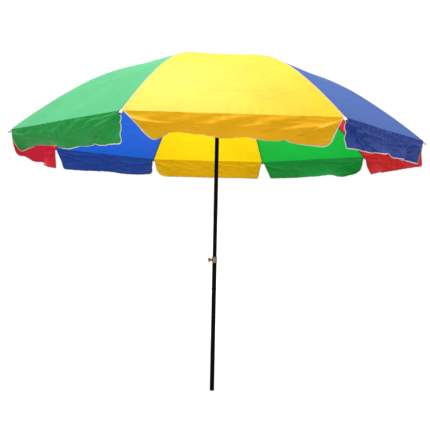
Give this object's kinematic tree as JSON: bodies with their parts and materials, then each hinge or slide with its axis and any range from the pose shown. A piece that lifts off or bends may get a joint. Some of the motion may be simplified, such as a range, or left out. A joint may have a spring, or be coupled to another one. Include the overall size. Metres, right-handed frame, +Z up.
{
  "type": "beach umbrella",
  "caption": "Beach umbrella with a folding multicolour gored canopy and valance flaps on a two-piece pole with a clamp collar.",
  "frame": {"origin": "middle of the foot's underside, on the pole's axis", "axes": "+Z up the pole to the finial; -Y is the front, towards the middle of one yellow panel; +X is to the right seen from the front"},
  "size_m": [2.2398, 2.2398, 2.101],
  "materials": {
    "pole_black": "satin",
    "collar_brass": "satin",
    "bright_steel": "satin",
    "frame_steel": "satin",
    "plastic_black": "matte",
    "plastic_grey": "matte",
    "cloth_yellow": "matte",
    "cloth_green": "matte",
    "cloth_red": "matte",
    "cloth_blue": "matte"
  },
  "bodies": {
    "lower_pole": {"lower_pole": "pole_black", "foot_plug": "plastic_black", "pole_collar": "collar_brass", "stop_rivet": "bright_steel"},
    "clamp": {"clamp_screw": "collar_brass"},
    "upper_pole": {"upper_pole": "pole_black", "runner_catch": "bright_steel", "crown": "plastic_black", "crown_pivot_wire": "bright_steel", "finial": "plastic_grey", "panel_1": "cloth_yellow", "panel_2": "cloth_blue", "panel_3": "cloth_red", "panel_4": "cloth_green", "panel_5": "cloth_yellow", "panel_6": "cloth_blue", "panel_7": "cloth_red", "panel_8": "cloth_green", "valance_1": "cloth_yellow", "valance_2": "cloth_blue", "valance_3": "cloth_red", "valance_4": "cloth_green", "valance_5": "cloth_yellow", "valance_6": "cloth_blue", "valance_7": "cloth_red", "valance_8": "cloth_green"},
    "runner": {"runner": "plastic_black", "runner_pivot_wire": "bright_steel"},
    "rib_1": {"rib_1": "frame_steel"},
    "rib_end_1": {"rib_end_1": "frame_steel"},
    "stretcher_1": {"stretcher_1": "frame_steel"},
    "tip_1": {"tip_1": "plastic_black"},
    "rib_2": {"rib_2": "frame_steel"},
    "rib_end_2": {"rib_end_2": "frame_steel"},
    "stretcher_2": {"stretcher_2": "frame_steel"},
    "tip_2": {"tip_2": "plastic_black"},
    "rib_3": {"rib_3": "frame_steel"},
    "rib_end_3": {"rib_end_3": "frame_steel"},
    "stretcher_3": {"stretcher_3": "frame_steel"},
    "tip_3": {"tip_3": "plastic_black"},
    "rib_4": {"rib_4": "frame_steel"},
    "rib_end_4": {"rib_end_4": "frame_steel"},
    "stretcher_4": {"stretcher_4": "frame_steel"},
    "tip_4": {"tip_4": "plastic_black"},
    "rib_5": {"rib_5": "frame_steel"},
    "rib_end_5": {"rib_end_5": "frame_steel"},
    "stretcher_5": {"stretcher_5": "frame_steel"},
    "tip_5": {"tip_5": "plastic_black"},
    "rib_6": {"rib_6": "frame_steel"},
    "rib_end_6": {"rib_end_6": "frame_steel"},
    "stretcher_6": {"stretcher_6": "frame_steel"},
    "tip_6": {"tip_6": "plastic_black"},
    "rib_7": {"rib_7": "frame_steel"},
    "rib_end_7": {"rib_end_7": "frame_steel"},
    "stretcher_7": {"stretcher_7": "frame_steel"},
    "tip_7": {"tip_7": "plastic_black"},
    "rib_8": {"rib_8": "frame_steel"},
    "rib_end_8": {"rib_end_8": "frame_steel"},
    "stretcher_8": {"stretcher_8": "frame_steel"},
    "tip_8": {"tip_8": "plastic_black"}
  },
  "joints": [
    {"name": "clamp_turn", "type": "hinge", "parent": "lower_pole", "child": "clamp", "pos_m": [-0.02, 0, 0.822], "axis": [-1, 0, 0], "range_deg": [0, 360]},
    {"name": "pole_slide", "type": "slide", "parent": "lower_pole", "child": "upper_pole", "axis": [0, 0, 1], "range_m": [0, 0.13]},
    {"name": "canopy_fold", "type": "hinge", "parent": "upper_pole", "child": "rib_1", "pos_m": [-0.01072, -0.02587, 2.036], "axis": [0.9239, -0.3827, 0], "range_deg": [0, 76], "deforming": ["panel_1", "panel_2", "panel_3", "panel_4", "panel_5", "panel_6", "panel_7", "panel_8", "valance_1", "valance_2", "valance_3", "valance_4", "valance_5", "valance_6", "valance_7", "valance_8", "runner_catch"]},
    {"name": "rib_1_flex", "type": "hinge", "parent": "rib_1", "child": "rib_end_1", "pos_m": [-0.2079, -0.50191, 1.95454], "axis": [0.9239, -0.3827, 0], "range_deg": [-19, 0]},
    {"name": "stretcher_1_turn", "type": "hinge", "parent": "rib_1", "child": "stretcher_1", "pos_m": [-0.20173, -0.48703, 1.9505], "axis": [0.9239, -0.3827, 0], "range_deg": [-152, 0]},
    {"name": "tip_1_hang", "type": "hinge", "parent": "rib_end_1", "child": "tip_1", "pos_m": [-0.45922, -1.10866, 1.53028], "axis": [0.9239, -0.3827, 0], "range_deg": [-57, 0]},
    {"name": "rib_2_fold", "type": "hinge", "parent": "upper_pole", "child": "rib_2", "pos_m": [0.01072, -0.02587, 2.036], "axis": [0.9239, 0.3827, 0], "range_deg": [0, 76]},
    {"name": "rib_2_flex", "type": "hinge", "parent": "rib_2", "child": "rib_end_2", "pos_m": [0.2079, -0.50191, 1.95454], "axis": [0.9239, 0.3827, 0], "range_deg": [-19, 0]},
    {"name": "stretcher_2_turn", "type": "hinge", "parent": "rib_2", "child": "stretcher_2", "pos_m": [0.20173, -0.48703, 1.9505], "axis": [0.9239, 0.3827, 0], "range_deg": [-152, 0]},
    {"name": "tip_2_hang", "type": "hinge", "parent": "rib_end_2", "child": "tip_2", "pos_m": [0.45922, -1.10866, 1.53028], "axis": [0.9239, 0.3827, 0], "range_deg": [-57, 0]},
    {"name": "rib_3_fold", "type": "hinge", "parent": "upper_pole", "child": "rib_3", "pos_m": [0.02587, -0.01072, 2.036], "axis": [0.3827, 0.9239, 0], "range_deg": [0, 76]},
    {"name": "rib_3_flex", "type": "hinge", "parent": "rib_3", "child": "rib_end_3", "pos_m": [0.50191, -0.2079, 1.95454], "axis": [0.3827, 0.9239, 0], "range_deg": [-19, 0]},
    {"name": "stretcher_3_turn", "type": "hinge", "parent": "rib_3", "child": "stretcher_3", "pos_m": [0.48703, -0.20173, 1.9505], "axis": [0.3827, 0.9239, 0], "range_deg": [-152, 0]},
    {"name": "tip_3_hang", "type": "hinge", "parent": "rib_end_3", "child": "tip_3", "pos_m": [1.10866, -0.45922, 1.53028], "axis": [0.3827, 0.9239, 0], "range_deg": [-57, 0]},
    {"name": "rib_4_fold", "type": "hinge", "parent": "upper_pole", "child": "rib_4", "pos_m": [0.02587, 0.01072, 2.036], "axis": [-0.3827, 0.9239, 0], "range_deg": [0, 76]},
    {"name": "rib_4_flex", "type": "hinge", "parent": "rib_4", "child": "rib_end_4", "pos_m": [0.50191, 0.2079, 1.95454], "axis": [-0.3827, 0.9239, 0], "range_deg": [-19, 0]},
    {"name": "stretcher_4_turn", "type": "hinge", "parent": "rib_4", "child": "stretcher_4", "pos_m": [0.48703, 0.20173, 1.9505], "axis": [-0.3827, 0.9239, 0], "range_deg": [-152, 0]},
    {"name": "tip_4_hang", "type": "hinge", "parent": "rib_end_4", "child": "tip_4", "pos_m": [1.10866, 0.45922, 1.53028], "axis": [-0.3827, 0.9239, 0], "range_deg": [-57, 0]},
    {"name": "rib_5_fold", "type": "hinge", "parent": "upper_pole", "child": "rib_5", "pos_m": [0.01072, 0.02587, 2.036], "axis": [-0.9239, 0.3827, 0], "range_deg": [0, 76]},
    {"name": "rib_5_flex", "type": "hinge", "parent": "rib_5", "child": "rib_end_5", "pos_m": [0.2079, 0.50191, 1.95454], "axis": [-0.9239, 0.3827, 0], "range_deg": [-19, 0]},
    {"name": "stretcher_5_turn", "type": "hinge", "parent": "rib_5", "child": "stretcher_5", "pos_m": [0.20173, 0.48703, 1.9505], "axis": [-0.9239, 0.3827, 0], "range_deg": [-152, 0]},
    {"name": "tip_5_hang", "type": "hinge", "parent": "rib_end_5", "child": "tip_5", "pos_m": [0.45922, 1.10866, 1.53028], "axis": [-0.9239, 0.3827, 0], "range_deg": [-57, 0]},
    {"name": "rib_6_fold", "type": "hinge", "parent": "upper_pole", "child": "rib_6", "pos_m": [-0.01072, 0.02587, 2.036], "axis": [-0.9239, -0.3827, 0], "range_deg": [0, 76]},
    {"name": "rib_6_flex", "type": "hinge", "parent": "rib_6", "child": "rib_end_6", "pos_m": [-0.2079, 0.50191, 1.95454], "axis": [-0.9239, -0.3827, 0], "range_deg": [-19, 0]},
    {"name": "stretcher_6_turn", "type": "hinge", "parent": "rib_6", "child": "stretcher_6", "pos_m": [-0.20173, 0.48703, 1.9505], "axis": [-0.9239, -0.3827, 0], "range_deg": [-152, 0]},
    {"name": "tip_6_hang", "type": "hinge", "parent": "rib_end_6", "child": "tip_6", "pos_m": [-0.45922, 1.10866, 1.53028], "axis": [-0.9239, -0.3827, 0], "range_deg": [-57, 0]},
    {"name": "rib_7_fold", "type": "hinge", "parent": "upper_pole", "child": "rib_7", "pos_m": [-0.02587, 0.01072, 2.036], "axis": [-0.3827, -0.9239, 0], "range_deg": [0, 76]},
    {"name": "rib_7_flex", "type": "hinge", "parent": "rib_7", "child": "rib_end_7", "pos_m": [-0.50191, 0.2079, 1.95454], "axis": [-0.3827, -0.9239, 0], "range_deg": [-19, 0]},
    {"name": "stretcher_7_turn", "type": "hinge", "parent": "rib_7", "child": "stretcher_7", "pos_m": [-0.48703, 0.20173, 1.9505], "axis": [-0.3827, -0.9239, 0], "range_deg": [-152, 0]},
    {"name": "tip_7_hang", "type": "hinge", "parent": "rib_end_7", "child": "tip_7", "pos_m": [-1.10866, 0.45922, 1.53028], "axis": [-0.3827, -0.9239, 0], "range_deg": [-57, 0]},
    {"name": "rib_8_fold", "type": "hinge", "parent": "upper_pole", "child": "rib_8", "pos_m": [-0.02587, -0.01072, 2.036], "axis": [0.3827, -0.9239, 0], "range_deg": [0, 76]},
    {"name": "rib_8_flex", "type": "hinge", "parent": "rib_8", "child": "rib_end_8", "pos_m": [-0.50191, -0.2079, 1.95454], "axis": [0.3827, -0.9239, 0], "range_deg": [-19, 0]},
    {"name": "stretcher_8_turn", "type": "hinge", "parent": "rib_8", "child": "stretcher_8", "pos_m": [-0.48703, -0.20173, 1.9505], "axis": [0.3827, -0.9239, 0], "range_deg": [-152, 0]},
    {"name": "tip_8_hang", "type": "hinge", "parent": "rib_end_8", "child": "tip_8", "pos_m": [-1.10866, -0.45922, 1.53028], "axis": [0.3827, -0.9239, 0], "range_deg": [-57, 0]},
    {"name": "runner_turn", "type": "hinge", "parent": "stretcher_1", "child": "runner", "pos_m": [-0.01072, -0.02587, 1.865], "axis": [0.9239, -0.3827, 0], "range_deg": [0, 76]}
  ],
  "couplings": [
    {"joint": "rib_1_flex", "follows": "canopy_fold", "ratio": -0.25},
    {"joint": "stretcher_1_turn", "follows": "canopy_fold", "ratio": -2},
    {"joint": "tip_1_hang", "follows": "canopy_fold", "ratio": -0.75},
    {"joint": "rib_2_fold", "follows": "canopy_fold", "ratio": 1},
    {"joint": "rib_2_flex", "follows": "canopy_fold", "ratio": -0.25},
    {"joint": "stretcher_2_turn", "follows": "canopy_fold", "ratio": -2},
    {"joint": "tip_2_hang", "follows": "canopy_fold", "ratio": -0.75},
    {"joint": "rib_3_fold", "follows": "canopy_fold", "ratio": 1},
    {"joint": "rib_3_flex", "follows": "canopy_fold", "ratio": -0.25},
    {"joint": "stretcher_3_turn", "follows": "canopy_fold", "ratio": -2},
    {"joint": "tip_3_hang", "follows": "canopy_fold", "ratio": -0.75},
    {"joint": "rib_4_fold", "follows": "canopy_fold", "ratio": 1},
    {"joint": "rib_4_flex", "follows": "canopy_fold", "ratio": -0.25},
    {"joint": "stretcher_4_turn", "follows": "canopy_fold", "ratio": -2},
    {"joint": "tip_4_hang", "follows": "canopy_fold", "ratio": -0.75},
    {"joint": "rib_5_fold", "follows": "canopy_fold", "ratio": 1},
    {"joint": "rib_5_flex", "follows": "canopy_fold", "ratio": -0.25},
    {"joint": "stretcher_5_turn", "follows": "canopy_fold", "ratio": -2},
    {"joint": "tip_5_hang", "follows": "canopy_fold", "ratio": -0.75},
    {"joint": "rib_6_fold", "follows": "canopy_fold", "ratio": 1},
    {"joint": "rib_6_flex", "follows": "canopy_fold", "ratio": -0.25},
    {"joint": "stretcher_6_turn", "follows": "canopy_fold", "ratio": -2},
    {"joint": "tip_6_hang", "follows": "canopy_fold", "ratio": -0.75},
    {"joint": "rib_7_fold", "follows": "canopy_fold", "ratio": 1},
    {"joint": "rib_7_flex", "follows": "canopy_fold", "ratio": -0.25},
    {"joint": "stretcher_7_turn", "follows": "canopy_fold", "ratio": -2},
    {"joint": "tip_7_hang", "follows": "canopy_fold", "ratio": -0.75},
    {"joint": "rib_8_fold", "follows": "canopy_fold", "ratio": 1},
    {"joint": "rib_8_flex", "follows": "canopy_fold", "ratio": -0.25},
    {"joint": "stretcher_8_turn", "follows": "canopy_fold", "ratio": -2},
    {"joint": "tip_8_hang", "follows": "canopy_fold", "ratio": -0.75},
    {"joint": "runner_turn", "follows": "canopy_fold", "ratio": 1}
  ]
}
